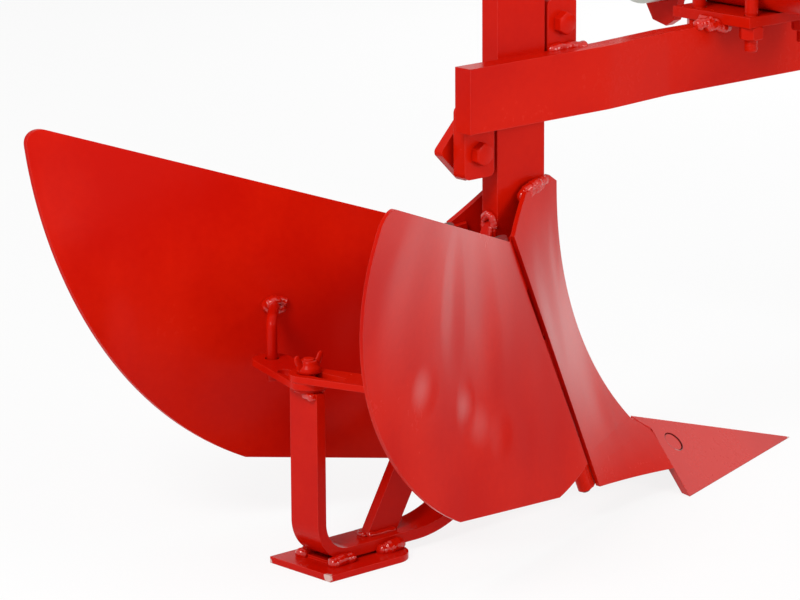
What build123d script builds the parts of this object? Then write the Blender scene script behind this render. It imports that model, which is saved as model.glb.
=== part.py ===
"""Single-row ridger on a three-point toolbar.

Millimetres. +X is the way of travel, +Y is left, +Z is up, and Z = 0 is the soil line that the
share and the heel rest on. The shank stands on the Z axis.
"""
import os
from math import atan2, cos, degrees, hypot, radians, sin, sqrt, tan

from build123d import *

os.makedirs("parts", exist_ok=True)

# Flat bars, sheets and clearances
bar_w = 60.0            # shank and draft arm, flat bar on edge
bar_t = 20.0
breast_t = 5.0
wing_t = 4.0
share_t = 8.0
run_gap = 0.3           # between plates that slide on each other
pin_gap = 0.05          # radial, pin in knuckle
hole_gap = 0.5          # radial, bolt in hole

# Shank and draft arm
shank_top = 602.0
shank_foot = 92.0
arm_z = 408.0           # height of the arm's middle
arm_tail = 83.0         # arm behind the shank's axis
arm_past = 32.0         # arm ahead of the toolbar's clamp plate
arm_shift = 10.0        # joggle of the arm's front part towards the middle
joggle_from = 95.0
joggle_to = 185.0
joggle_r = 90.0

# Cross clamp between shank and arm
ear_w = 37.0
ear_t = 15.0
ear_out = 47.0          # how far an ear reaches past the arm's edge
ear_gap = 4.0           # between ear and shank
ear_corner_r = 6.0
clamp_bolt_d = 12.0
clamp_bolt_out = 24.0   # each bolt from the arm's edge
clamp_flats = 19.0
clamp_head_t = 8.0
clamp_nut_t = 11.0
clamp_past = 8.0        # thread beyond the nut
strip_w = 45.0
strip_t = 10.0
strip_past = 20.5       # strip beyond each bolt
strip_corner_r = 5.0

# Toolbar, its clamp and the three-point hitch
toolbar_x = 303.0
toolbar_d = 60.3
toolbar_wall = 5.0
pin_spread = 683.0      # between the shoulders of the lower link pins
clamp_plate_w = 100.0
clamp_plate_x = 100.0
clamp_plate_t = 10.0
u_bolt_d = 13.0
u_bolt_y = 34.0         # each U-bolt from the middle of the two
u_bolt_off = 6.0        # that middle to the right of the arm's middle
u_bolt_sides = 12       # flats round a U-bolt's bar
u_flats = 21.0
u_nut_t = 12.5
u_past = 12.0           # thread beyond the nut
lower_pin_d = 22.0
lower_pin_len = 65.0
pin_chamfer = 2.5
linch_d = 12.0
linch_out = 49.0        # linch hole from the shoulder
cap_t = 10.0
mast_h = 460.0          # top link pin above the lower ones
mast_bar_w = 50.0
mast_bar_t = 10.0
mast_foot_y = 125.0
mast_foot_down = 66.0   # mast bar's end below the toolbar's axis
mast_foot_inner = 9.0   # chamfers of a mast bar's end
mast_foot_outer = 22.0
mast_top_y = 30.0
head_h = 68.0
head_down = 12.0        # head plate's top below the top link pin
lug_gap = 52.0
lug_t = 10.0
lug_r = 20.0
lug_foot_down = 60.0    # lugs' foot and the mast bars' ends below the top link pin
top_pin_d = 19.0
top_pin_x = 58.0        # top link pin ahead of the toolbar's axis
top_pin_past = 28.0
top_pin_head_r = 15.5
top_pin_head_t = 6.0
top_linch_d = 11.0
top_linch_out = 14.0

# Breast: a folded V whose nose is an arc
nose_x = 54.0           # nose at its upright top
nose_z = 300.0          # where the nose starts to sweep forward
nose_lap = 4.0          # the nose ends this far behind the share's ridge
nose_half = 3.0         # half width of the folded nose
nose_top = 14.0         # sheet above the breast's peak, before its top is cut
breast_peak_x = 38.0
breast_peak_z = 321.0
breast_front_z = 312.0
breast_shoulder_x = -8.0
breast_shoulder_z = 313.0
breast_rear_z = 278.0
breast_foot_z = 22.0
breast_low_z = 12.0     # sheet below the breast's foot, before it is cut

# Share: a roof over the nose's foot
share_tip_x = 388.0
share_heel_x = 158.0    # rear end of the share's ridge
share_ridge_z = 65.5
share_half = 77.0
share_rear_x = 161.0    # rear corners of its cutting edges
share_notch_x = 176.0
share_notch_y = 10.0
share_blunt = 1.5       # taken off the sharp tip
share_solid = 70.0      # solid length of the tip
share_slit = 3.0        # between the breast and the share's notch
share_lap = 6.0         # breast under the share, before the share's room is cut
seat_front_x = 236.0
seat_rear = 8.0         # seat behind the share's ridge

# Hinge line between breast and wing, on the outer faces
hinge_top_x = -45.0
hinge_top_y = 45.5
hinge_top_z = 277.0
hinge_foot_x = 42.0
hinge_foot_y = 69.0
hinge_foot_z = 32.0
hinge_in = 11.5         # pin's axis inside the outer face
hinge_slit = 4.0        # half the slit between breast and wing
barrel_r = 7.0
hinge_pin_r = 4.0
knuckles = 5
knuckle_gap = 0.8
leaf_w = 20.0
leaf_t = 4.0
leaf_bed = 0.5          # leaf let into the sheet above it
notch_gap = 1.0
pin_head_t = 4.0
pin_head_up = 1.0
pin_past = 2.0

# Wing: straight rulings that run back from the hinge line, steeper and wider at the top
wing_kink_x = -207.8    # where the straight bottom edge meets the round rear edge
wing_kink_z = 67.0
wing_arc_r = 305.0      # round rear edge, seen from the side
wing_arc_deg = 64.8     # way from the kink to the arc's middle
wing_spare = 17.0       # sheet beyond the outline, before it is cut
tip_r = 15.0

# Heel, brace and stays
strap_w = 36.0
strap_t = 10.0
strap_rear_x = -260.0
strap_top = 167.0
heel_bend_r = 32.0
strap_rise_x = -140.0
strap_rise_r = 110.0
strap_rise_deg = 52.0
heel_t = 6.0
heel_half = 41.0
heel_rear_x = -266.0
heel_front_x = -158.0
heel_r = 24.0
sole_slit = 2.5         # between heel plate and strap, closed by the weld beads
bead_w = 14.0
bead_rear = 30.0        # rear bead from the plate's rear edge, front bead from its front edge
bead_front = 14.0
brace_w = 32.0
brace_t = 10.0
brace_top_z = 289.0
brace_foot_x = -189.5
stud_x = -253.0
stud_d = 12.0
stud_past = 13.0
washer_r = 15.0
washer_t = 3.0
stay_w = 36.0
stay_t = 6.0
rod_x = -227.0
rod_y = 80.0
rod_d = 10.0
rod_top = 212.0
rod_foot = 156.0
rod_leg = 85.0          # level leg, before the wing cuts it
rod_sides = 12
rod_hole_gap = 1.5
rod_lean = Vector(0.6, 0.8, 0.0)    # way of the rod's welded leg, towards the wing
slot_len = 36.0         # travel of a stay along its slot
slot_deg = 85.0         # way of the slot, from the way of travel
slot_gap = 1.0

# Wing nut and plough bolts
nut_r = 11.0
nut_t = 6.0
ear_half = 2.5          # half thickness of the nut's ears
ear_reach = 17.0
ear_top = 18.0
plough_bolt_x = 196.0
plough_bolt_y = 21.0
plough_bolt_d = 10.0
plough_head_d = 20.0
plough_head_t = 5.0
plough_head_in = 0.8    # head below the share's face
plough_rim = 0.9        # round the head
plough_flats = 16.0
plough_nut_t = 8.0
plough_past = 2.0
bolt_gap = 0.4

hinge_top = Vector(hinge_top_x, hinge_top_y, hinge_top_z)
hinge_foot = Vector(hinge_foot_x, hinge_foot_y, hinge_foot_z)
strap_foot = heel_t + sole_slit
toolbar_r = toolbar_d / 2
toolbar_z = arm_z + bar_w / 2 + clamp_plate_t + toolbar_r
arm_y_rear = -bar_t
arm_y_front = arm_y_rear + arm_shift
arm_nose = toolbar_x + clamp_plate_x / 2 + arm_past
pin_z = toolbar_z + mast_h
pin_x = toolbar_x + top_pin_x
washer_z = strap_top + run_gap
stay_left_z = washer_z + washer_t + run_gap
stay_right_z = stay_left_z + stay_t + run_gap
nut_z = stay_right_z + stay_t + run_gap
SIDES = (("left", 1), ("right", -1))


def write(part, node):
    part.label = node
    export_step(part, f"parts/{node}.step")


def hexagon(flats):
    """Outline of a nut or a bolt's head, in the open sketch."""
    RegularPolygon(flats / 2, 6, major_radius=False, rotation=30)


def both_sides(left):
    """A left piece and its mirror image."""
    return [left, mirror(left, about=Plane.XZ)]


def hinge_at(z):
    """Point of the left hinge line at a height."""
    v = (hinge_top.Z - z) / (hinge_top.Z - hinge_foot.Z)
    return hinge_top + (hinge_foot - hinge_top) * v


def splay(v):
    """Sideways slope of a wing ruling, v = 0 at its top edge and 1 at its bottom edge."""
    return 0.60 - 0.52 * v + 0.22 * v * v


def rise(v):
    """Upward slope of a wing ruling towards the rear."""
    return 0.34 - 0.12 * v


def wing_point(v, x):
    """Point of the left wing's outer face on ruling v at a place along the machine."""
    root = hinge_top + (hinge_foot - hinge_top) * v
    back = root.X - x
    return Vector(x, root.Y + splay(v) * back, root.Z + rise(v) * back)


nose_run = share_heel_x - nose_lap - nose_x
nose_fall = nose_z - share_ridge_z
nose_r = (nose_run**2 + nose_fall**2) / (2 * nose_run)


def nose_at(z):
    """The nose's place at a height: upright, then an arc that sweeps forward to the share."""
    drop = max(nose_z - z, 0.0)
    return nose_x + nose_r - sqrt(nose_r**2 - drop**2)


# Shank: flat bar on edge, upright
with BuildPart() as shank:
    with BuildSketch(Plane.XY.offset(shank_foot)):
        Rectangle(bar_w, bar_t)
    extrude(amount=shank_top - shank_foot)
write(shank.part, "shank")

# Draft arm: flat bar beside the shank, joggled so that its front comes closer to the middle
with BuildPart() as draft_arm:
    with BuildSketch(Plane.XY.offset(arm_z - bar_w / 2)):
        with BuildLine():
            FilletPolyline(
                (-arm_tail, arm_y_rear),
                (joggle_from, arm_y_rear),
                (joggle_to, arm_y_front),
                (arm_nose, arm_y_front),
                radius=joggle_r,
            )
        trace(line_width=bar_t)
    extrude(amount=bar_w)
write(draft_arm.part, "draft_arm")

# Cross clamp: two ears on the arm, one behind and below, one ahead and above, and a strip
# laid across the back of the shank from bolt to bolt
ear_in_x = bar_w / 2 + ear_gap
bolt_x = ear_in_x + ear_w / 2
bolt_dz = bar_w / 2 + clamp_bolt_out
ears = (("clamp_ear_lower", -1), ("clamp_ear_upper", 1))
for node, side in ears:
    with BuildPart() as ear:
        ear_h = ear_out + bar_w / 3
        ear_mid = Vector(side * bolt_x, 0, arm_z + side * (bar_w / 2 + ear_out - ear_h / 2))
        with BuildSketch(Plane.XZ.offset(bar_t / 2)):
            with Locations((ear_mid.X, ear_mid.Z)):
                RectangleRounded(ear_w, ear_h, ear_corner_r)
        extrude(amount=-ear_t)
        with BuildSketch(Plane.XZ.offset(bar_t / 2)):
            with Locations((side * bolt_x, arm_z + side * bolt_dz)):
                Circle(clamp_bolt_d / 2 + hole_gap)
        extrude(amount=-ear_t, mode=Mode.SUBTRACT)
    write(ear.part, node)

strip_angle = degrees(atan2(bolt_dz, bolt_x))
bolt_reach = hypot(bolt_x, bolt_dz)
with BuildPart() as clamp_strip:
    with BuildSketch(Plane.XZ.offset(-bar_t / 2)):
        with Locations(Location((0, arm_z), strip_angle)):
            RectangleRounded(2 * (bolt_reach + strip_past), strip_w, strip_corner_r)
            with Locations((-bolt_reach, 0), (bolt_reach, 0)):
                Circle(clamp_bolt_d / 2 + hole_gap, mode=Mode.SUBTRACT)
    extrude(amount=-strip_t)
write(clamp_strip.part, "clamp_strip")

with BuildPart() as clamp_bolts:
    for side in (-1, 1):
        centre = (side * bolt_x, arm_z + side * bolt_dz)
        with BuildSketch(Plane.XZ.offset(bar_t / 2)):
            with Locations(centre):
                hexagon(clamp_flats)
        extrude(amount=clamp_head_t)
        with BuildSketch(Plane.XZ.offset(bar_t / 2)):
            with Locations(centre):
                Circle(clamp_bolt_d / 2)
        extrude(amount=-(bar_t + strip_t + clamp_nut_t + clamp_past))
        with BuildSketch(Plane.XZ.offset(-bar_t / 2 - strip_t)):
            with Locations(centre):
                hexagon(clamp_flats)
        extrude(amount=-clamp_nut_t)
write(clamp_bolts.part, "clamp_bolts")

# Toolbar tube with its closed ends, and the lower link pins
with BuildPart() as toolbar_tube:
    with BuildSketch(Plane.XZ.offset(-pin_spread / 2)):
        with Locations((toolbar_x, toolbar_z)):
            Circle(toolbar_r)
            Circle(toolbar_r - toolbar_wall, mode=Mode.SUBTRACT)
    extrude(amount=pin_spread)
write(toolbar_tube.part, "toolbar_tube")

with BuildPart() as lower_pins:
    for sign in (-1, 1):
        with BuildSketch(Plane.XZ.offset(-sign * (pin_spread / 2 - cap_t))):
            with Locations((toolbar_x, toolbar_z)):
                Circle(toolbar_r - toolbar_wall)
        extrude(amount=-sign * cap_t)
        with BuildSketch(Plane.XZ.offset(-sign * pin_spread / 2)):
            with Locations((toolbar_x, toolbar_z)):
                Circle(lower_pin_d / 2)
        extrude(amount=-sign * lower_pin_len)
        chamfer(lower_pins.faces().sort_by(Axis.Y)[-1 if sign > 0 else 0].edges(), pin_chamfer)
        with BuildSketch(Plane.XY.offset(toolbar_z)):
            with Locations((toolbar_x, sign * (pin_spread / 2 + linch_out))):
                Circle(linch_d / 2)
        extrude(amount=lower_pin_d, both=True, mode=Mode.SUBTRACT)
write(lower_pins.part, "lower_pins")

# Toolbar clamp: a plate on the arm's top edge and a U-bolt on each side of the arm
plate_z = arm_z + bar_w / 2
u_bolt_mid = arm_y_front - u_bolt_off
leg_dx = toolbar_r + u_bolt_d / 2 + run_gap
with BuildPart() as clamp_plate:
    with BuildSketch(Plane.XY.offset(plate_z)):
        with Locations((toolbar_x, arm_y_front)):
            Rectangle(clamp_plate_x, clamp_plate_w)
            with Locations(*[(a * leg_dx, b * u_bolt_y - u_bolt_off) for a in (-1, 1) for b in (-1, 1)]):
                Circle(u_bolt_d / 2 + hole_gap, mode=Mode.SUBTRACT)
    extrude(amount=clamp_plate_t)
write(clamp_plate.part, "clamp_plate")


def u_bolt(base, seat):
    """Closed U round the toolbar with its two nuts. base has its X along the legs' spread and its Y
    to the bow; seat is the nuts' place on that Y."""
    foot = seat - u_nut_t - u_past
    with BuildPart() as bolt:
        for leg in (-leg_dx, leg_dx):
            spot = base.from_local_coords(Vector(leg, 0, 0))
            with BuildSketch(Plane(spot, x_dir=base.x_dir, z_dir=-base.y_dir)):
                RegularPolygon(u_bolt_d / 2, u_bolt_sides)
            extrude(amount=-foot)
        with BuildSketch(Plane(spot, x_dir=base.x_dir, z_dir=-base.y_dir)):
            RegularPolygon(u_bolt_d / 2, u_bolt_sides)
        revolve(axis=Axis(base.origin, base.z_dir), revolution_arc=180)
        for leg in (-leg_dx, leg_dx):
            spot = base.from_local_coords(Vector(leg, seat, 0))
            with BuildSketch(Plane(spot, x_dir=base.x_dir, z_dir=-base.y_dir)):
                hexagon(u_flats)
            extrude(amount=u_nut_t)
    return bolt.part


with BuildPart() as u_bolts:
    for sign in (-1, 1):
        spot = (toolbar_x, u_bolt_mid + sign * u_bolt_y, toolbar_z)
        add(u_bolt(Plane(spot, x_dir=(1, 0, 0), z_dir=(0, -1, 0)), plate_z - toolbar_z))
write(u_bolts.part, "u_bolts")

# Mast: two flat bars clamped to the front of the toolbar by U-bolts, joined by a head with the
# two lugs of the top link
mast_x = toolbar_x + toolbar_r
mast_rise = mast_h - lug_foot_down
mast_slope = (mast_foot_y - mast_top_y) / mast_rise
for side, sign in SIDES:
    with BuildPart() as mast_bar:
        foot = Vector(sign * (mast_foot_y + mast_slope * mast_foot_down), toolbar_z - mast_foot_down)
        head = Vector(sign * mast_top_y, toolbar_z + mast_rise)
        way = (head - foot).normalized()
        out = Vector(sign * way.Y, -sign * way.X)
        half = out * mast_bar_w / 2
        with BuildSketch(Plane.YZ.offset(mast_x)):
            Polygon(
                foot + half + way * mast_foot_outer,
                foot + half - out * mast_foot_outer,
                foot - half + out * mast_foot_inner,
                foot - half + way * mast_foot_inner,
                head - half,
                head + half,
                align=None,
            )
        extrude(amount=mast_bar_t)
        with BuildSketch(Plane.YZ.offset(mast_x)):
            with Locations(*[(sign * mast_foot_y, toolbar_z + a * leg_dx) for a in (-1, 1)]):
                Circle(u_bolt_d / 2 + hole_gap)
        extrude(amount=mast_bar_t, mode=Mode.SUBTRACT)
    write(mast_bar.part, f"mast_bar_{side}")

with BuildPart() as mast_u_bolts:
    for sign in (-1, 1):
        spot = (toolbar_x, sign * mast_foot_y, toolbar_z)
        add(u_bolt(Plane(spot, x_dir=(0, 0, 1), z_dir=(0, -1, 0)), -toolbar_r - mast_bar_t))
write(mast_u_bolts.part, "mast_u_bolts")

head_x = mast_x + mast_bar_t
lug_y = lug_gap / 2
with BuildPart() as mast_head:
    with BuildSketch(Plane.YZ.offset(head_x)):
        with Locations((0, pin_z - head_down - head_h / 2)):
            Rectangle(lug_gap + 2 * lug_t, head_h)
    extrude(amount=lug_t)
    for sign in (-1, 1):
        with BuildSketch(Plane.XZ.offset(-sign * (lug_y + lug_t / 2))):
            with BuildLine():
                Polyline((head_x, pin_z - lug_foot_down), (head_x, pin_z + lug_r), (pin_x, pin_z + lug_r))
                ThreePointArc((pin_x, pin_z + lug_r), (pin_x + lug_r, pin_z), (pin_x, pin_z - lug_r))
                Line((pin_x, pin_z - lug_r), (head_x, pin_z - lug_foot_down))
            make_face()
            with Locations((pin_x, pin_z)):
                Circle(top_pin_d / 2 + pin_gap, mode=Mode.SUBTRACT)
        extrude(amount=lug_t / 2, both=True)
write(mast_head.part, "mast_head")

with BuildPart() as top_link_pin:
    lug_face = Plane.XZ.offset(lug_y + lug_t + run_gap)
    with BuildSketch(lug_face):
        with Locations((pin_x, pin_z)):
            Circle(top_pin_d / 2)
    extrude(amount=-(lug_gap + 2 * lug_t + top_pin_past))
    with BuildSketch(lug_face):
        with Locations((pin_x, pin_z)):
            Circle(top_pin_head_r)
    extrude(amount=top_pin_head_t)
    with BuildSketch(Plane.XY.offset(pin_z)):
        with Locations((pin_x, lug_y + lug_t + top_linch_out)):
            Circle(top_linch_d / 2)
    extrude(amount=top_pin_d, both=True, mode=Mode.SUBTRACT)
write(top_link_pin.part, "top_link_pin")


def slope(side, drop):
    """Plane of one slope of the share, lowered by a wall, its normal pointing out."""
    tip = Vector(share_tip_x, 0, -drop)
    along = Vector(share_heel_x - share_tip_x, 0, share_ridge_z)
    across = Vector(share_heel_x - share_tip_x, side * share_half, 0)
    return Plane(tip, x_dir=along, z_dir=across.cross(along) * side)


def roof(back_x, front_x, drop):
    """Solid under the share's two slopes, lowered by a wall."""
    with BuildPart() as body:
        with Locations((back_x, 0, -drop)):
            Box(
                front_x - back_x,
                4 * share_half,
                2 * share_ridge_z,
                align=(Align.MIN, Align.CENTER, Align.MIN),
            )
        for side in (-1, 1):
            split(bisect_by=slope(side, drop), keep=Keep.BOTTOM)
    return body.part


share_slope = atan2(share_ridge_z, share_half)
share_drop = share_t / cos(share_slope)
seat_drop = share_drop + breast_t / cos(share_slope)

# Plough bolts: flush heads in the share, nuts below its seat
ridge_fall = share_ridge_z / (share_tip_x - share_heel_x)
side_fall = share_ridge_z / share_half
bolt_z = ridge_fall * (share_tip_x - plough_bolt_x) - side_fall * plough_bolt_y
bolt_spot = Vector(plough_bolt_x, plough_bolt_y, bolt_z)
bolt_way = Vector(-ridge_fall, -side_fall, -1).normalized()


def bolt_post(start, stop, radius, sides=0):
    """Round or hexagonal post on the left plough bolt's axis, measured down from the share's face."""
    with BuildPart() as body:
        with BuildSketch(Plane(bolt_spot + bolt_way * start, z_dir=bolt_way)):
            if sides:
                RegularPolygon(radius, sides)
            else:
                Circle(radius)
        extrude(amount=stop - start)
    return body.part


clamped = share_t + breast_t
with BuildPart() as plough_bolts:
    post = bolt_post(plough_head_in, plough_head_t, plough_head_d / 2)
    post += bolt_post(plough_head_in, clamped + plough_nut_t + plough_past, plough_bolt_d / 2)
    post += bolt_post(clamped, clamped + plough_nut_t, plough_flats / sqrt(3), 6)
    add(both_sides(post))
write(plough_bolts.part, "plough_bolts")

# Share: two slopes with a solid tip, its rear edge notched for the nose
share_back_x = share_heel_x - share_notch_y
with BuildPart() as behind:
    with BuildSketch(Plane.XY):
        with BuildLine():
            Polyline(
                (share_back_x, 2 * share_half),
                (share_rear_x, 2 * share_half),
                (share_rear_x, share_half),
                (share_notch_x, share_notch_y),
                (share_heel_x, 0),
                (share_notch_x, -share_notch_y),
                (share_rear_x, -share_half),
                (share_rear_x, -2 * share_half),
                (share_back_x, -2 * share_half),
                close=True,
            )
        make_face()
    extrude(amount=2 * share_ridge_z, both=True)
share_behind = behind.part
with BuildPart() as share:
    add(roof(share_back_x, share_tip_x - share_blunt, 0.0))
    add(roof(share_back_x, share_tip_x - share_solid, share_drop), mode=Mode.SUBTRACT)
    add(share_behind, mode=Mode.SUBTRACT)
    recess = bolt_post(-plough_head_t, plough_head_t, plough_head_d / 2 + plough_rim)
    add(both_sides(recess), mode=Mode.SUBTRACT)
    add(both_sides(bolt_post(0, 2 * share_t, plough_bolt_d / 2 + bolt_gap)), mode=Mode.SUBTRACT)
write(share.part, "share")

# Breast: folded sheet from sections at level heights, cut by its slanted top, with the seat
# that carries the share and the fixed knuckles of the two hinges
nose_step = (breast_peak_z + nose_top - share_ridge_z) / 4
nose_heights = [share_ridge_z + i * nose_step for i in (4, 3, 2, 1, 0)]
nose_rows = [(z, nose_at(z), nose_half) for z in nose_heights]
notch_z = ridge_fall * (share_tip_x - share_notch_x) - side_fall * share_notch_y
rear_z = ridge_fall * (share_tip_x - share_rear_x) - side_fall * share_half


def foot_row(z):
    """Height, front and half width of the breast where it runs under the share's rear edge."""
    way = (notch_z - z) / (notch_z - rear_z)
    edge_x = share_notch_x + (share_rear_x - share_notch_x) * way
    edge_y = share_notch_y + (share_half - share_notch_y) * way
    rear = hinge_at(z)
    inward = (rear.Y - edge_y) / (edge_x - rear.X - hinge_slit)
    return z, edge_x + share_lap, edge_y - inward * share_lap


foot_rows = [(notch_z, share_notch_x - share_slit, share_notch_y)]
foot_rows += [foot_row(notch_z + (breast_low_z - notch_z) * i / 4) for i in (1, 2, 3, 4)]


def breast_section(z, front, half):
    """Closed outline of the folded sheet at a height."""
    rear = hinge_at(z)
    rear_x = rear.X + hinge_slit
    slope = (rear.Y - half) / (front - rear_x)
    wall = breast_t * sqrt(1 + slope**2)
    inner_x = min(front - breast_t, front - (0.5 - half + wall) / slope)
    inner_half = half + (front - inner_x) * slope - wall
    right = [(rear_x, -rear.Y), (front, -half)]
    left = [(front, half), (rear_x, rear.Y)]
    inner = [(rear_x, rear.Y - wall), (inner_x, inner_half), (inner_x, -inner_half), (rear_x, wall - rear.Y)]
    return right + left + inner


def knuckle_spans():
    """Start and end of each knuckle along the pin."""
    step = (hinge_foot - hinge_top).length / knuckles
    return [(i * step + knuckle_gap / 2, (i + 1) * step - knuckle_gap / 2) for i in range(knuckles)]


hinge_way = (hinge_foot - hinge_top).normalized()
hinge_len = (hinge_foot - hinge_top).length
sheet_way = Vector(-1, splay(0.5), rise(0.5))
hinge_out = hinge_way.cross(sheet_way).normalized()


def across_pin(along):
    """Plane across the left pin: local X runs back in the sheet, local Y to its outer face."""
    spot = hinge_top + hinge_way * along - hinge_out * hinge_in
    return Plane(spot, x_dir=hinge_out.cross(hinge_way), z_dir=hinge_way)


def round_bar(along, length, radius):
    """Cylinder on the left pin's axis."""
    with BuildPart() as body:
        with BuildSketch(across_pin(along)):
            Circle(radius)
        extrude(amount=length)
    return body.part


def knuckle(span, way):
    """Barrel with a leaf under the sheet, back to the wing (way 1) or ahead to the breast (-1)."""
    with BuildPart() as body:
        with BuildSketch(across_pin(span[0])):
            Circle(barrel_r)
            with Locations((way * leaf_w / 2, hinge_in - wing_t - leaf_t / 2 + leaf_bed)):
                Rectangle(leaf_w, leaf_t)
        extrude(amount=span[1] - span[0])
    return body.part


spans = knuckle_spans()
fixed_spans = spans[0::2]
wing_spans = spans[1::2]
hinge_bore = round_bar(-leaf_w, hinge_len + 2 * leaf_w, hinge_pin_r + pin_gap)


def notches(ends):
    """Room in a sheet for the other side's knuckles."""
    pieces = []
    for start, stop in ends:
        length = stop - start + 2 * notch_gap
        pieces.append(round_bar(start - notch_gap, length, barrel_r + notch_gap))
    return pieces


seat_rear_x = share_heel_x - seat_rear
seat = roof(seat_rear_x, seat_front_x, share_drop) - roof(seat_rear_x, seat_front_x, seat_drop)
share_room = roof(share_back_x, share_tip_x, -share_t) - roof(share_back_x, share_tip_x, share_drop)
share_room -= share_behind

# Side view of the breast and its seat
rear_slope = (breast_shoulder_z - breast_rear_z) / (breast_shoulder_x - hinge_top.X)
foot_slope = (hinge_foot.Z - breast_foot_z) / (share_heel_x - hinge_foot.X)
profile_rear_x = hinge_top.X - bar_w
with BuildPart() as profile:
    with BuildSketch(Plane.XZ):
        Polygon(
            (profile_rear_x, breast_rear_z - rear_slope * bar_w),
            (breast_shoulder_x, breast_shoulder_z),
            (breast_peak_x, breast_peak_z),
            (nose_x, breast_front_z),
            (seat_front_x, breast_front_z),
            (seat_front_x, hinge_foot.Z - foot_slope * (seat_front_x - hinge_foot.X)),
            (profile_rear_x, hinge_foot.Z + foot_slope * (hinge_foot.X - profile_rear_x)),
            align=None,
        )
    extrude(amount=2 * share_half, both=True)

with BuildPart() as breast:
    for rows, straight in ((nose_rows, False), (nose_rows[-1:] + foot_rows, True)):
        for z, front, half in rows:
            with BuildSketch(Plane.XY.offset(z)):
                Polygon(*breast_section(z, front, half), align=None)
        loft(ruled=straight)
    add(profile.part, mode=Mode.INTERSECT)
    add(share_room, mode=Mode.SUBTRACT)
    add(seat & profile.part)
    for piece in notches(wing_spans):
        add(both_sides(piece), mode=Mode.SUBTRACT)
    add(both_sides(bolt_post(0, 3 * share_t, plough_bolt_d / 2 + bolt_gap)), mode=Mode.SUBTRACT)
    for span in fixed_spans:
        add(both_sides(knuckle(span, -1)))
    add(both_sides(hinge_bore), mode=Mode.SUBTRACT)
    add(shank.part, mode=Mode.SUBTRACT)
write(breast.part, "breast")

# Hinge pins: their heads above the top knuckles
with BuildPart() as hinge_pins:
    pin = round_bar(-pin_head_up, pin_head_up + hinge_len + pin_past, hinge_pin_r)
    pin += round_bar(-pin_head_up - pin_head_t, pin_head_t, barrel_r)
    add(both_sides(pin))
write(hinge_pins.part, "hinge_pins")


arc_x = wing_kink_x + wing_arc_r * cos(radians(wing_arc_deg))
arc_z = wing_kink_z + wing_arc_r * sin(radians(wing_arc_deg))
wing_rear_x = arc_x - wing_arc_r - wing_spare


def wing_sheet():
    """Left wing: rulings between the hinge line and the rear, cut to its outline from the side."""
    wall = wing_t * sqrt(1 + splay(0.5) ** 2)
    with BuildPart() as body:
        for x in (wing_rear_x, hinge_foot.X + wing_spare):
            ends = [wing_point(v, x) for v in (-0.12, 0.5, 1.12)]
            outer = [(p.Y, p.Z) for p in ends]
            inner = [(p.Y - wall, p.Z) for p in ends]
            with BuildSketch(Plane.YZ.offset(x)):
                with BuildLine():
                    ThreePointArc(*outer)
                    Line(outer[2], inner[2])
                    ThreePointArc(*inner)
                    Line(inner[0], outer[0])
                make_face()
        loft(ruled=True)
        foot_slope = (wing_kink_z - hinge_foot.Z) / (hinge_foot.X - wing_kink_x)
        with BuildSketch(Plane.XZ):
            Polygon(
                (hinge_top.X - hinge_slit, hinge_top.Z),
                (wing_rear_x, hinge_top.Z + rise(0) * (hinge_top.X - wing_rear_x)),
                (wing_rear_x, hinge_foot.Z + foot_slope * (hinge_foot.X - wing_rear_x)),
                (hinge_foot.X - hinge_slit, hinge_foot.Z),
                align=None,
            )
            with Locations((arc_x, arc_z)):
                Circle(wing_arc_r, mode=Mode.INTERSECT)
            top = vertices().sort_by(Axis.Y)[-1]
            fillet(top, tip_r)
        extrude(amount=wing_arc_r, both=True, mode=Mode.INTERSECT)
    return body.part


sheet = wing_sheet()
with BuildPart() as wing_left:
    add(sheet)
    for piece in notches(fixed_spans):
        add(piece, mode=Mode.SUBTRACT)
    for span in wing_spans:
        add(knuckle(span, 1))
    add(hinge_bore, mode=Mode.SUBTRACT)
write(wing_left.part, "wing_left")
write(mirror(wing_left.part, about=Plane.XZ), "wing_right")

# Wing rods: an upright leg for the stay's hole, and a level leg welded to the wing's inner face
with BuildPart() as rod:
    with BuildLine() as path:
        rod_end = Vector(rod_x, rod_y, rod_top) + rod_lean * rod_leg
        FilletPolyline((rod_x, rod_y, rod_foot), (rod_x, rod_y, rod_top), tuple(rod_end), radius=rod_d)
    with BuildSketch(Plane((rod_x, rod_y, rod_foot), x_dir=rod_lean)):
        RegularPolygon(rod_d / 2, rod_sides)
    sweep(path=path.wires()[0])
    add(sheet, mode=Mode.SUBTRACT)
wing_rod = rod.solids().sort_by(SortBy.VOLUME)[-1]
write(Part(wing_rod.wrapped), "wing_rod_left")
write(Part(mirror(wing_rod, about=Plane.XZ).wrapped), "wing_rod_right")

# Stays: slotted bars from the stud to the rods, the left one below the right one
for (side, sign), level in zip(SIDES, (stay_left_z, stay_right_z)):
    run_x = rod_x - stud_x
    run_y = sign * rod_y
    slot_dx = cos(radians(slot_deg)) * slot_len / 2
    slot_dy = sign * sin(radians(slot_deg)) * slot_len / 2
    with BuildPart() as stay:
        with BuildSketch(Plane.XY.offset(level)):
            with Locations((stud_x + run_x / 2, run_y / 2)):
                SlotCenterToCenter(hypot(run_x, run_y), stay_w, rotation=degrees(atan2(run_y, run_x)))
            with Locations((stud_x + slot_dx, slot_dy)):
                SlotCenterToCenter(
                    slot_len, stud_d + 2 * slot_gap, rotation=sign * slot_deg, mode=Mode.SUBTRACT
                )
            with Locations((rod_x, run_y)):
                Circle(rod_d / 2 + rod_hole_gap, mode=Mode.SUBTRACT)
        extrude(amount=stay_t)
    write(stay.part, f"stay_{side}")

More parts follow.
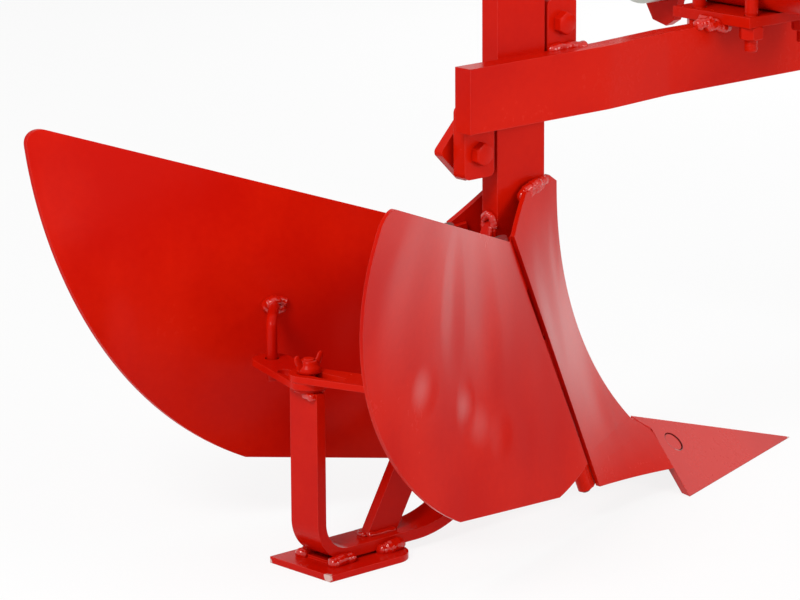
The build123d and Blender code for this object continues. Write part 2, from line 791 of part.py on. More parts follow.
# Heel strap: flat bar bent up behind for the stud and up ahead to the shank's foot
rise_end = radians(strap_rise_deg)
half_strap = strap_t / 2
rise_r = strap_rise_r + half_strap
rise_z = strap_foot + half_strap
ramp_x = strap_rise_x + rise_r * sin(rise_end)
ramp_z = rise_z + rise_r * (1 - cos(rise_end))
ramp_run = shank_foot - ramp_z
with BuildPart() as heel_strap:
    with BuildSketch(Plane.XZ):
        with BuildLine():
            FilletPolyline(
                (strap_rear_x + half_strap, strap_top),
                (strap_rear_x + half_strap, rise_z),
                (strap_rise_x, rise_z),
                radius=heel_bend_r,
            )
            RadiusArc((strap_rise_x, rise_z), (ramp_x, ramp_z), -rise_r)
            Line((ramp_x, ramp_z), (ramp_x + ramp_run / tan(rise_end), shank_foot))
        trace(line_width=strap_t)
    extrude(amount=strap_w / 2, both=True)
    with BuildSketch(Plane.XY.offset(shank_foot)):
        Rectangle(4 * bar_w, 2 * strap_w)
    extrude(amount=bar_w, mode=Mode.SUBTRACT)
write(heel_strap.part, "heel_strap")

# Heel plate: sole with two round front corners, on two weld beads under the strap
with BuildPart() as heel_plate:
    with BuildSketch(Plane.XY):
        with Locations(((heel_rear_x + heel_front_x) / 2, 0)):
            Rectangle(heel_front_x - heel_rear_x, 2 * heel_half)
        fillet(vertices().group_by(Axis.X)[-1], heel_r)
    extrude(amount=heel_t)
    for x in (heel_rear_x + bead_rear, heel_front_x - bead_front):
        with BuildSketch(Plane.XY.offset(heel_t)):
            with Locations((x, 0)):
                Rectangle(bead_w, strap_w)
        extrude(amount=sole_slit)
write(heel_plate.part, "heel_plate")

# Brace: flat bar on edge from the strap to the back of the shank
strap_face = strap_foot + strap_t
brace_run = -bar_w / 2 - brace_foot_x
brace_lean = atan2(brace_top_z - strap_face, brace_run)
brace_cut = brace_w / sin(brace_lean)
with BuildPart() as brace:
    with BuildSketch(Plane.XZ):
        Polygon(
            (brace_foot_x, strap_face),
            (brace_foot_x + brace_cut, strap_face),
            (-bar_w / 2, brace_top_z - brace_w / cos(brace_lean)),
            (-bar_w / 2, brace_top_z),
            align=None,
        )
    extrude(amount=brace_t / 2, both=True)
write(brace.part, "brace")

# Stud on the strap's end with its washer, and the wing nut that clamps the stays
with BuildPart() as stay_stud:
    with Locations((stud_x, 0, strap_top)):
        Cylinder(stud_d / 2, nut_z + stud_past - strap_top, align=(Align.CENTER, Align.CENTER, Align.MIN))
    with Locations((stud_x, 0, washer_z)):
        Cylinder(washer_r, washer_t, align=(Align.CENTER, Align.CENTER, Align.MIN))
write(stay_stud.part, "stay_stud")

with BuildPart() as wing_nut:
    with Locations((stud_x, 0, nut_z)):
        Cylinder(nut_r, nut_t, align=(Align.CENTER, Align.CENTER, Align.MIN))
        Cylinder(nut_r - ear_half, 2 * nut_t, align=(Align.CENTER, Align.CENTER, Align.MIN))
    for way in (-1, 1):
        with BuildSketch(Plane.XZ):
            with BuildLine():
                heel = (stud_x + way * stud_d / 2, nut_z + nut_t / 2)
                rim = (stud_x + way * ear_reach, nut_z + ear_top - nut_t)
                crown = (stud_x + way * (ear_reach - ear_half), nut_z + ear_top)
                neck = (stud_x + way * nut_r, nut_z + ear_top - nut_t / 2)
                Polyline(neck, heel, (stud_x + way * (nut_r + ear_half), nut_z + nut_t / 2), rim)
                ThreePointArc(rim, crown, neck)
            make_face()
        extrude(amount=ear_half, both=True)
    with Locations((stud_x, 0, nut_z)):
        Cylinder(stud_d / 2 + pin_gap, 2 * ear_top, mode=Mode.SUBTRACT)
write(wing_nut.part, "wing_nut")
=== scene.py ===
from math import cos, pi, radians, sin, sqrt, tau

import bmesh
import bpy
from mathutils import Matrix, Vector
from mathutils.noise import noise as waver


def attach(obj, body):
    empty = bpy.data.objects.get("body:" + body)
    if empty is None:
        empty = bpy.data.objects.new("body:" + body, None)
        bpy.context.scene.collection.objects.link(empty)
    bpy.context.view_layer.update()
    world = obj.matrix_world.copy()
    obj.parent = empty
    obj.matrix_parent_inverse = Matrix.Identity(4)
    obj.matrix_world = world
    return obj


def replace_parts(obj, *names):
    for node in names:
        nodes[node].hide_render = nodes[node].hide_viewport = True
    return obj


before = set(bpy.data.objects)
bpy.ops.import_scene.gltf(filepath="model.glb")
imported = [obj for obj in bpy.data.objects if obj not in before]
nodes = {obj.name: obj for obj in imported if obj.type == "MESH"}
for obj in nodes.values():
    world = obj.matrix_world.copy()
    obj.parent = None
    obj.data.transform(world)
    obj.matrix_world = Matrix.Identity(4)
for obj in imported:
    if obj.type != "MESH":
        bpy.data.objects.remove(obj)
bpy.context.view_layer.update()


# Camera
# A long lens, a little above the machine, behind it and to its right. The ridger stands on its
# heel and its share, and the frame cuts off the toolbar and the mast above it.
camera_at = Vector((-2.5432, -2.6112, 1.0923))
look_yaw = radians(47.406)
look_pitch = radians(-13.655)
look_roll = radians(-0.317)

ahead = Vector((cos(look_pitch) * cos(look_yaw), cos(look_pitch) * sin(look_yaw), sin(look_pitch)))
level = Vector((sin(look_yaw), -cos(look_yaw), 0.0))
upright = level.cross(ahead)
right = level * cos(look_roll) + upright * sin(look_roll)
above = upright * cos(look_roll) - level * sin(look_roll)
eye = bpy.data.cameras.new("eye")
eye.lens = 181.9
eye.sensor_width = 36.0
camera = bpy.data.objects.new("camera", eye)
camera.matrix_world = Matrix((
    (right.x, above.x, -ahead.x, camera_at.x),
    (right.y, above.y, -ahead.y, camera_at.y),
    (right.z, above.z, -ahead.z, camera_at.z),
    (0.0, 0.0, 0.0, 1.0),
))
bpy.context.scene.collection.objects.link(camera)
bpy.context.scene.camera = camera
bpy.context.scene.view_settings.view_transform = "Standard"


# Red enamel
# The whole machine is sprayed after it is put together, over welds, nuts and spatter: a thick
# glossy coat with some orange peel. Its edges are painted lighter, partly because the coat is
# thin there and partly as a painted highlight.
class Wire:
    """A value in a finish, which adds Math nodes when it is worked with."""

    def __init__(self, finish, socket):
        self.finish = finish
        self.socket = socket

    def math(self, operation, *values):
        return self.finish.add("Math", {"operation": operation}, dict(enumerate(values)))

    def __add__(self, other):
        return self.math("ADD", self, other)

    def __radd__(self, other):
        return self.math("ADD", other, self)

    def __sub__(self, other):
        return self.math("SUBTRACT", self, other)

    def __rsub__(self, other):
        return self.math("SUBTRACT", other, self)

    def __mul__(self, other):
        return self.math("MULTIPLY", self, other)

    def __rmul__(self, other):
        return self.math("MULTIPLY", other, self)

    def size(self):
        """Without its sign."""
        return self.math("ABSOLUTE", self)

    def held(self):
        """Kept between 0 and 1."""
        return self.finish.add("Clamp", {}, {"Value": self})

    def ramp(self, low, high):
        """0 below low and 1 above high, smooth between them."""
        values = {"Value": self, "From Min": low, "From Max": high}
        return self.finish.add("MapRange", {"interpolation_type": "SMOOTHSTEP"}, values)


class Finish:
    """A material with one Principled shader, built from nodes added by kind."""

    def __init__(self, name):
        self.material = bpy.data.materials.new(name)
        self.material.use_nodes = True
        self.tree = self.material.node_tree
        self.shader = self.tree.nodes["Principled BSDF"]

    def add(self, kind, settings=(), values=(), out=0):
        """One shader node: its settings first, then the values or links of its sockets."""
        node = self.tree.nodes.new("ShaderNode" + kind)
        for name, value in dict(settings).items():
            setattr(node, name, value)
        for name, value in dict(values).items():
            self.join(node.inputs[name], value)
        return Wire(self, node.outputs[out])

    def join(self, socket, value):
        """Links a wire to a socket, or sets the socket to a number or a colour."""
        if isinstance(value, Wire):
            self.tree.links.new(value.socket, socket)
        elif hasattr(value, "__len__") and len(value) < len(socket.default_value):
            socket.default_value = (*value, 1.0)
        else:
            socket.default_value = value

    def place(self):
        """Places on the piece, in metres, in the machine's own frame."""
        return self.add("TexCoord", out="Object")

    def stretch(self, x, y, z):
        """Places scaled along each axis, for noise that is longer one way."""
        return self.add("Mapping", {}, {"Vector": self.place(), "Scale": (x, y, z)})

    def noise(self, scale, detail=3.0, roughness=0.5, at=None):
        """Soft noise between about 0 and 1, with scale waves to the metre."""
        values = {"Vector": at or self.place(), "Scale": scale}
        values |= {"Detail": detail, "Roughness": roughness}
        return self.add("TexNoise", {}, values)

    def near(self, spot, inner, outer, at=None):
        """1 within inner of a spot, and 0 beyond outer."""
        ends = {0: at or self.place(), 1: spot}
        far = self.add("VectorMath", {"operation": "DISTANCE"}, ends, out="Value")
        return 1.0 - far.ramp(inner, outer)

    def mix(self, amount, low, high):
        """A colour between two."""
        return self.add("Mix", {"data_type": "RGBA"}, {0: amount, 6: low, 7: high}, out=2)

    def rounded(self, radius):
        """The normal with the metal's edges rounded."""
        return self.add("Bevel", {"samples": 4}, {"Radius": radius})

    def edge(self, rounded):
        """1 on an edge of the metal and 0 on its faces."""
        normals = {0: rounded, 1: self.add("NewGeometry", out="Normal")}
        turned = self.add("VectorMath", {"operation": "DOT_PRODUCT"}, normals, out="Value")
        return (1.0 - turned).ramp(0.02, 0.25)

    def bump(self, height, depth, normal=None):
        """A normal from a height, whose full range is depth in metres."""
        values = {"Height": height, "Distance": depth, "Strength": 1.0}
        if normal:
            values["Normal"] = normal
        return self.add("Bump", {}, values)

    def set(self, **values):
        """Sockets of the shader, by their names with _ for a space."""
        for name, value in values.items():
            title = name.replace("_", " ").title().replace("Ior", "IOR")
            self.join(self.shader.inputs[title], value)
        return self.material


deep_red = (0.49, 0.0040, 0.0006)
bright_red = (0.585, 0.0085, 0.0010)
thin_and_highlit_red = (0.88, 0.040, 0.025)
gap_shade_red = (0.05, 0.001, 0.001)
rubbed_steel = (0.66, 0.44, 0.40)


def enamel(name, sags=0.0003, peel=0.000007, dents=(), bands=0.0, rubbed=(), shaded_rims=(), haze=(),
           shine=0.075, gloss=0.2):
    """Red enamel. Sags, bands and peel are the depths of its slow waves, its upright waves and its
    orange peel. Dents are (spot, outer, depth, tall), and tall ones are longer upwards. Rubbed
    places (spot, outer) show the steel. Shaded rims (spot, radius) are dark rings of painted shade
    in the gap round a bolt. Haze (spot, outer, weight) is where the coat lies thick and mirrors
    more of the sky."""
    paint = Finish(name)
    cloud = paint.noise(6.0, 2.0)
    grain = paint.noise(140.0, 4.0, 0.6)
    soft = paint.rounded(0.0011)
    tone = (0.85 * cloud + 0.15 * grain).ramp(0.35, 0.65)
    edge = paint.edge(soft)
    # Lighter on the edges: partly thin paint, partly a painted highlight.
    colour = paint.mix(edge * 0.6, paint.mix(tone, deep_red, bright_red), thin_and_highlit_red)
    normal = paint.bump(paint.noise(22.0, 2.0, 0.45), sags, soft)
    if bands:
        upright_waves = paint.noise(1.0, 1.0, 0.4, paint.stretch(7.0, 7.0, 2.0))
        normal = paint.bump(upright_waves, bands, normal)
    for spot, outer, depth, tall in dents:
        squeezed = paint.stretch(1.0, 1.0, 1.0 / tall)
        low = (spot[0], spot[1], spot[2] / tall)
        normal = paint.bump(1.0 - paint.near(low, 0.0, outer, squeezed), depth, normal)
    normal = paint.bump(paint.noise(520.0, 2.0, 0.4), peel, normal)
    rough = gloss + 0.04 * grain + 0.08 * cloud
    metal = 0.0
    for spot, outer in rubbed:
        scuffs = paint.noise(230.0, 5.0, 0.7)
        bare = (paint.near(spot, 0.0, outer) + 0.7 * scuffs).ramp(0.82, 1.0)
        colour = paint.mix(bare, colour, rubbed_steel)
        rough = rough + 0.2 * bare
        metal = metal + 0.4 * bare
    # A dark ring of painted shade in the gap round each sunk bolt head.
    for spot, radius in shaded_rims:
        inside = paint.near(spot, radius + 0.0006, radius + 0.0011)
        shade_in_gap = inside - paint.near(spot, radius - 0.0008, radius - 0.0003)
        colour = paint.mix(shade_in_gap.held() * 0.85, colour, gap_shade_red)
    coat = edge * 0.4
    for spot, outer, weight in haze:
        coat = coat + weight * paint.near(spot, 0.0, outer)
    return paint.set(
        base_color=colour, roughness=rough, metallic=metal, normal=normal,
        specular_ior_level=shine, coat_weight=coat, coat_roughness=0.15 if haze else 0.08,
    )


def dress(material, *names):
    """Gives CAD nodes their finish."""
    for name in names:
        for slot in nodes[name].material_slots:
            slot.material = material


red_enamel = enamel("red_enamel")
dress(red_enamel, *nodes)


# Shank, draft arm and cross clamp
# Flat bars sawn to length. The two ears are welded to the arm with a stick electrode: a rippled,
# uneven bead along the arm's lower edge, and one along its upper edge with a spill at its end.
def sweep(line, radius, sides=12, side=None):
    """Rings round a line of points. Radius is a function of the run along it and the turn."""
    way = (line[1] - line[0]).normalized()
    side = side or way.orthogonal()
    turns = [tau * i / sides for i in range(sides)]
    rings = []
    run = 0.0
    for index, spot in enumerate(line):
        before, after = line[max(index - 1, 0)], line[min(index + 1, len(line) - 1)]
        way = (after - before).normalized()
        side = (side - way * side.dot(way)).normalized()
        across = way.cross(side)
        run += (spot - before).length
        rings.append([spot + (side * cos(a) + across * sin(a)) * radius(run, a) for a in turns])
    return rings


def forge(name, tubes, body, material, crease=38.0):
    """One piece of metal from tubes, each a list of rings, closed at both ends."""
    mesh = bpy.data.meshes.new(name)
    corners, faces = [], []
    for rings in tubes:
        first, count = len(corners), len(rings[0])
        for ring in rings:
            corners.extend(ring)
        for row in range(len(rings) - 1):
            for turn in range(count):
                near_side = first + row * count + turn
                far_side = first + row * count + (turn + 1) % count
                faces.append((near_side, far_side, far_side + count, near_side + count))
        faces.append(tuple(range(first, first + count)))
        faces.append(tuple(range(len(corners) - count, len(corners))))
    mesh.from_pydata(corners, [], faces)
    shape = bmesh.new()
    shape.from_mesh(mesh)
    bmesh.ops.recalc_face_normals(shape, faces=shape.faces)
    shape.to_mesh(mesh)
    shape.free()
    mesh.shade_smooth()
    mesh.set_sharp_from_angle(angle=radians(crease))
    mesh.materials.append(material)
    part = bpy.data.objects.new(name, mesh)
    bpy.context.scene.collection.objects.link(part)
    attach(part, body)
    return part


def spread(points, step):
    """Points a step apart along straight runs between points given in millimetres."""
    corners = [Vector(point) / 1000 for point in points]
    line = [corners[0]]
    for start, stop in zip(corners, corners[1:]):
        count = max(2, round((stop - start).length / step))
        line += [start.lerp(stop, i / count) for i in range(1, count + 1)]
    return line


def weld(points, size, ripple=3.0):
    """Rings of a bead laid along points, all in millimetres: overlapping scales of uneven size."""
    line = spread(points, 0.0007)
    seed = Vector(points[0]) * 0.37
    length = sum((b - a).length for a, b in zip(line, line[1:]))
    size /= 1000
    wander, blunt, overlap, unevenness = 0.35, 0.03, 0.12, 0.28
    uneven = []
    for spot in line:
        drift = [waver(spot * 110 + seed + Vector((k * 7.0, 0, 0))) for k in range(3)]
        uneven.append(spot + Vector(drift) * size * wander)

    def radius(run, turn):
        end = min(run, length - run, size) / size
        scale = (run * 1000 / ripple) % 1.0
        lump = waver(Vector((run * 90, 2.0, 5.0)) + seed)
        lump += 0.5 * waver(Vector((run * 240, cos(turn), sin(turn))) + seed)
        round_end = sqrt(max(blunt, 1 - (1 - end) ** 2))
        return size * round_end * (1.0 + overlap * scale + unevenness * lump)

    return sweep(uneven, radius, sides=14)


def both_sides(points, size, ripple=3.0):
    """The same bead on the machine's right and on its left."""
    return [weld([(x, side * y, z) for x, y, z in points], size, ripple) for side in (-1, 1)]


weld_enamel = enamel("weld_enamel", sags=0.0009, peel=0.00008, shine=0.5, gloss=0.05)
forge("ear_welds", [
    weld([(-71, -12, 378), (-34, -12, 378)], 3.2),
    weld([(-71, 4, 379), (-36, 5, 379)], 3.0),
    weld([(33, -12, 438.5), (52, -12.5, 439), (70, -12, 438.5), (82, -13, 436)], 4.3, 4.0),
    weld([(34, 5, 438), (70, 5, 438)], 3.0),
], "frame", weld_enamel)


# Clamp bolts
# Two hexagon bolts draw the strip and the ears together round the shank. They are painted where
# they sit, so their threads are half filled.
def hexagon(foot, way, flats, height, side, both=True):
    """Rings of a nut or a bolt's head, its corners turned off at its far face or at both."""
    face = flats / 2000 * 0.95  # radius of the flat end, which the turned corners run up to
    cut = (flats / 2000 / cos(pi / 6) - face) / sqrt(3)
    marks = [0, cut / 3, cut * 2 / 3, cut, height / 2000]
    marks += [height / 1000 - mark for mark in reversed(marks[:-1])]
    line = [Vector(foot) / 1000 + Vector(way) * mark for mark in marks]

    def radius(run, turn):
        outline = flats / 2000 / cos(turn % (pi / 3) - pi / 6)
        depth = height / 1000 - run
        if both:
            depth = min(run, depth)
        return min(outline, face + depth * sqrt(3))

    return sweep(line, radius, sides=48, side=Vector(side))


def winding(run, turn, pitch):
    """How deep the groove of a thread is, 0 to 1, at a run in metres and a turn round it."""
    return abs(((run * 1000 / pitch - turn / tau) % 1.0) * 2 - 1)


def thread(foot, way, size, length, pitch=1.75, left=0.45):
    """Rings of a threaded bar with a chamfered end. Left is how much of its groove is unfilled."""
    step, chamfer = 0.00022, 0.0013
    line = spread([foot, Vector(foot) + Vector(way) * length], step)
    groove = pitch * 0.0006 * left

    def radius(run, turn):
        end = min(0.0, length / 1000 - run - chamfer)
        return size / 2000 - groove * winding(run, turn, pitch) + end * 0.8

    return sweep(line, radius, sides=24)


def plain_bar(start, stop, size):
    """Rings of a round bar, all in millimetres."""
    return sweep(spread([start, stop], 0.004), lambda run, turn: size / 2000, sides=24)


bolt_size, bolt_flats, head_height, nut_height = 12.0, 19.0, 8.0, 11.0
ear_face, strip_face = -10.0, 20.0
bolts = []
for x, z in ((-52.5, 354.0), (52.5, 462.0)):
    bolts += [
        hexagon((x, ear_face, z), (0, -1, 0), bolt_flats, head_height, (0, 0, 1), both=False),
        plain_bar((x, ear_face - 1, z), (x, strip_face + 1, z), bolt_size),
        hexagon((x, strip_face, z), (0, 1, 0), bolt_flats, nut_height, (0, 0, 1)),
        thread((x, strip_face + 2, z), (0, 1, 0), bolt_size, 17.0),
    ]
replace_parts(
    forge("painted_clamp_bolts", bolts, "frame", red_enamel, 32.0), "clamp_bolts"
)


# Toolbar clamp
# A plate welded across the arm's top edge, and two U-bolts bent from round bar that hold the
# toolbar down on it, with their nuts below.
def u_bar(turn_at, leg_way, spread_way, reach=36.95, foot=64.65, size=13.0):
    """Rings of a U bent from round bar, from foot to foot, its threaded ends included."""
    centre, leg_way, spread_way = Vector(turn_at) / 1000, Vector(leg_way), Vector(spread_way)
    reach, foot = reach / 1000, foot / 1000
    out, back = spread_way * reach, leg_way * reach
    leg_steps, bow_steps = 90, 40
    straight = [centre + out + leg_way * foot * (1 - i / leg_steps) for i in range(leg_steps)]
    bends = [pi * i / bow_steps for i in range(bow_steps + 1)]
    bow = [centre + out * cos(a) - back * sin(a) for a in bends]
    other = [spot - out * 2 for spot in reversed(straight)]
    run_length = 2 * foot + pi * reach
    threaded, pitch, groove, chamfer = 0.036, 2.0, 0.0005, 0.0014

    def radius(run, turn):
        end = min(run, run_length - run)
        wave = winding(end, turn, pitch) if end < threaded else 0.0
        return size / 2000 - groove * wave - max(0.0, chamfer - end) * 0.8

    return sweep(straight + bow + other, radius, sides=28)


toolbar_x, toolbar_z = 303, 478.15
u_nut = (21.0, 12.5)  # across its flats, and its height
plate_foot = 438.0
u_pieces = []
for y in (-50.0, 18.0):
    u_pieces.append(u_bar((toolbar_x, y, toolbar_z), (0, 0, -1), (1, 0, 0)))
    for x in (266.05, 339.95):
        u_pieces.append(hexagon((x, y, plate_foot), (0, 0, -1), *u_nut, (0.6, 0.8, 0)))
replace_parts(forge("painted_u_bolts", u_pieces, "frame", red_enamel, 32.0), "u_bolts")

forge("clamp_plate_welds", [
    weld([(251, 3, 441), (251, -6, 440), (251, -21, 439), (252, -22, 434)], 4.0),
    weld([(222, -19, 438), (232, -20, 441), (246, -21, 442)], 4.6, 4.0),
    weld([(232, -22, 436), (246, -23, 437), (258, -23, 433), (266, -22, 436)], 4.4, 4.0),
    weld([(353, 1, 440), (353, -21, 440)], 3.4),
    weld([(256, 1, 438), (290, 1, 438)], 2.8),
], "frame", weld_enamel)


# Toolbar and lower link pins
# A drawn tube, closed by two discs that carry turned pins. The pins are zinc plated and bright,
# the discs and their welds are painted with the tube.
dull_zinc = (0.50, 0.53, 0.47)
bright_zinc = (0.66, 0.66, 0.62)
stained_zinc = (0.40, 0.39, 0.33)


def zinc_plate(name, painted_within=None):
    """Zinc plate with a faint greenish spangle, enamelled within painted_within of the middle."""
    plate = Finish(name)
    spangle = plate.noise(260.0, 3.0, 0.6)
    bloom = plate.noise(38.0, 3.0)
    colour = plate.mix(bloom.ramp(0.35, 0.65), dull_zinc, bright_zinc)
    colour = plate.mix(spangle.ramp(0.55, 0.7) * 0.5, colour, stained_zinc)
    gloss = 0.30 + 0.22 * spangle
    metal = 0.9
    if painted_within:
        split = plate.add("SeparateXYZ", {}, {0: plate.place()}, out="Y")
        ragged = split.size() + 0.0012 * spangle
        bare = ragged.ramp(painted_within, painted_within + 0.0006)
        colour = plate.mix(bare, bright_red, colour)
        metal = 0.9 * bare
    normal = plate.bump(spangle, 0.00012, plate.rounded(0.0009))
    return plate.set(base_color=colour, roughness=gloss, metallic=metal, normal=normal)


zinc = zinc_plate("zinc_plate")
dress(zinc_plate("zinc_pin_plate", 0.3425), "lower_pins")
dress(zinc, "top_link_pin")


def ring_weld(centre, way, across, size):
    """Bead laid right round a bar."""
    way, centre = Vector(way).normalized(), Vector(centre)
    side = way.orthogonal().normalized()
    other = way.cross(side)
    turns = [tau * i / 48 for i in range(49)]
    return weld([centre + (side * cos(a) + other * sin(a)) * across for a in turns], size)


disc_edges = [(toolbar_x, sign * 341.5, toolbar_z) for sign in (-1, 1)]
pin_roots = [(toolbar_x, sign * 342.0, toolbar_z) for sign in (-1, 1)]
forge("pin_welds", [
    *[ring_weld(spot, (0, 1, 0), 25.0, 2.2) for spot in disc_edges],
    *[ring_weld(spot, (0, 1, 0), 12.0, 2.6) for spot in pin_roots],
], "frame", weld_enamel)


# Mast
# Two flat bars held to the front of the toolbar by zinc plated U-bolts, welded at the top to a
# head plate with two lugs for the top link.
bar_front = 343.15
mast_bolts = []
for y in (-125.0, 125.0):
    mast_bolts.append(u_bar((toolbar_x, y, toolbar_z), (1, 0, 0), (0, 0, 1)))
    for z in (441.2, 515.1):
        mast_bolts.append(hexagon((bar_front, y, z), (1, 0, 0), *u_nut, (0, 0, 1)))
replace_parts(forge("zinc_u_bolts", mast_bolts, "frame", zinc, 32.0), "mast_u_bolts")

forge("mast_welds", [
    *both_sides([(344, 36, 862), (344, 36, 875)], 3.0),
    *both_sides([(353.5, 26, 884), (353.5, 26, 920)], 2.8),
    *both_sides([(353.5, 36.5, 884), (353.5, 36.5, 920)], 2.8),
    weld([(345, -34, 858.5), (345, 34, 858.5)], 3.0),
], "frame", weld_enamel)


# Breast and hinge pins
# The breast is one folded sheet, so its own faces are shaded smooth. It is welded down both sides
# of the shank, with a thick run at its top. The hinge pins are steel that the paint mostly missed.
breast_enamel = enamel("breast_enamel", sags=0.0006, bands=0.003, shine=0.09, haze=[
    ((0.055, -0.030, 0.185), 0.130, 0.75),
], dents=[
    ((0.046, -0.018, 0.255), 0.016, 0.0012, 3.0),
    ((0.010, -0.034, 0.200), 0.030, 0.0016, 3.0),
    ((0.085, -0.028, 0.100), 0.036, 0.0010, 1.6),
    ((0.050, 0.020, 0.170), 0.026, 0.0010, 4.0),
])
formed = nodes["breast"].data.copy()
formed.name = "formed_breast"
shape = bmesh.new()
shape.from_mesh(formed)
bmesh.ops.remove_doubles(shape, verts=shape.verts, dist=0.00001)
shape.to_mesh(formed)
shape.free()
if "custom_normal" in formed.attributes:
    formed.attributes.remove(formed.attributes["custom_normal"])
formed.shade_smooth()
formed.set_sharp_from_angle(angle=radians(28.0))
formed.materials.clear()
formed.materials.append(breast_enamel)
breast = bpy.data.objects.new("formed_breast", formed)
bpy.context.scene.collection.objects.link(breast)
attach(breast, "frame")
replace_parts(breast, "breast")

breast_top = [
    (33, 9, 318), (24, 13, 318), (12, 15.5, 317), (3, 17.5, 315), (-5, 18, 309), (-5, 16, 302),
]
forge("breast_welds", [
    *both_sides([(31.5, 10.5, 135), (31, 10.5, 240), (25, 11.5, 300)], 2.4),
    *both_sides(breast_top, 4.6, 4.0),
    *both_sides([(26, 13, 314), (8, 16, 312), (-2, 19, 308)], 4.4, 4.0),
], "frame", weld_enamel)

pin_steel = Finish("pin_steel")
missed = pin_steel.noise(90.0, 3.0, 0.6).ramp(0.48, 0.60)
scaling = pin_steel.noise(420.0, 4.0, 0.6)
raw_steel = pin_steel.mix(scaling, (0.035, 0.022, 0.016), (0.11, 0.09, 0.075))
dress(pin_steel.set(
    base_color=pin_steel.mix(missed, (0.20, 0.004, 0.003), raw_steel),
    roughness=0.4 + 0.3 * scaling, metallic=0.6 * missed,
    normal=pin_steel.bump(scaling, 0.0001, pin_steel.rounded(0.0008)),
), "hinge_pins")


# Share and plough bolts
# Two slopes of thick steel that meet in a solid point, with a ground cutting edge under the
# paint, which is rubbed off its tip. Its bolts have flat heads sunk just below the face.
# Rings of painted shade round the two bolt heads, on the share and on the bolts.
heads = [((0.196, sign * 0.021, 0.0362), 0.0104) for sign in (-1, 1)]
tip = ((0.3865, 0.0, 0.0005), 0.010)
dress(enamel("share_enamel", rubbed=[tip], shaded_rims=heads, shine=0.38), "share")
dress(enamel("bolt_enamel", shaded_rims=heads, shine=0.38), "plough_bolts")


# Wings
# Mouldboards pressed from sheet, dented here and there and a little wavy along their length, so
# that the gloss runs in upright bands. The right one has a hazy top and hazy dents.
dress(enamel("right_wing_enamel", sags=0.0006, bands=0.006, shine=0.035, haze=[
    ((-0.180, -0.130, 0.340), 0.220, 0.5),
    ((-0.266, -0.157, 0.200), 0.024, 0.55),
    ((-0.189, -0.131, 0.166), 0.020, 0.60),
    ((-0.160, -0.125, 0.142), 0.026, 0.45),
], dents=[
    ((-0.258, -0.157, 0.198), 0.028, 0.0020, 1.0),
    ((-0.187, -0.131, 0.164), 0.021, 0.0020, 1.5),
    ((-0.165, -0.125, 0.146), 0.026, 0.0018, 1.0),
    ((-0.126, -0.112, 0.123), 0.026, 0.0016, 1.0),
    ((-0.206, -0.141, 0.262), 0.030, 0.0030, 2.6),
    ((-0.140, -0.117, 0.235), 0.046, 0.0026, 2.0),
    ((-0.290, -0.176, 0.290), 0.070, 0.0040, 1.6),
]), "wing_right")
dress(enamel("left_wing_enamel", sags=0.0006, bands=0.006, dents=[
    ((-0.215, 0.140, 0.215), 0.060, 0.0035, 1.0),
    ((-0.330, 0.190, 0.190), 0.030, 0.0018, 2.0),
    ((-0.140, 0.108, 0.290), 0.060, 0.0030, 1.6),
    ((-0.130, 0.105, 0.160), 0.050, 0.0030, 2.0),
]), "wing_left")


# Wing rods
# A round bar bent at a right angle: its upright leg stands in the stay's eye, and its level leg
# is welded to the wing with a large lump at its end.
rod_radius, rod_chamfer = 0.005, 0.0012
bend, leg_height, level_step = 0.010, 0.056, 0.0069
for side, sign in (("left", 1), ("right", -1)):
    foot = Vector((-0.227, sign * 0.080, 0.156))
    lean = Vector((0.69, sign * 0.724, 0.0))
    corner = foot + Vector((0, 0, leg_height))
    drop = Vector((0, 0, bend))
    line = [foot.lerp(corner - drop, i / 8) for i in range(9)]
    for i in range(1, 13):
        turn = pi / 2 * i / 12
        line.append(corner + lean * bend * (1 - cos(turn)) - drop * (1 - sin(turn)))
    line += [corner + lean * (bend + level_step * i) for i in range(1, 8)]
    bar = sweep(line, lambda run, turn: rod_radius - max(0.0, rod_chamfer - run) * 0.7, sides=24)
    rod = forge(f"bent_rod_{side}", [bar], f"wing_{side}", red_enamel, 40.0)
    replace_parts(rod, f"wing_rod_{side}")
    round_end = []
    for i in range(34):
        x, z = cos(tau * i / 32), sin(tau * i / 32)
        round_end.append((-185 + 8.6 * x, sign * (122.2 - 3.5 * x), 212 + 3.8 * z))
    over = [(-198, sign * 123, 213), (-191, sign * 119, 216.5), (-183, sign * 117, 216)]
    lump = [weld(round_end, 4.4, 4.0), weld(over, 4.2, 4.0)]
    forge(f"rod_welds_{side}", lump, f"wing_{side}", weld_enamel)


# Heel
# A flat bar bent to a bow, with a sole welded under it on short beads, and a brace up to the
# shank. The sole's rear corners are rubbed bare.
dress(enamel("sole_enamel", rubbed=[
    ((-0.266, -0.037, 0.004), 0.010), ((-0.266, 0.041, 0.001), 0.006),
]), "heel_plate")
forge("heel_welds", [
    *both_sides([(-250, 20, 8), (-238, 21.5, 10), (-218, 20, 9)], 5.0, 4.0),
    *both_sides([(-190, 20, 8), (-174, 21.5, 10.5), (-158, 20, 9)], 5.4, 4.0),
    *both_sides([(-190, 6, 19), (-154, 6, 19)], 3.0),
    weld([(-191, -5, 19.5), (-191, 5, 19.5)], 2.8),
    *both_sides([(-31, 6, 232), (-31.5, 6.5, 262), (-32, 6, 291)], 3.2),
    weld([(-31, -8, 280), (-32.5, -6, 290), (-33, 0, 293), (-32, 7, 288)], 3.6),
    weld([(-38, -6.5, 258), (-35, -6.5, 284)], 2.4),
    *both_sides([(-24, 12, 92), (26, 12, 92)], 2.8),
    weld([(-31, -9, 92), (-31, 9, 92)], 3.0),
], "frame", weld_enamel)


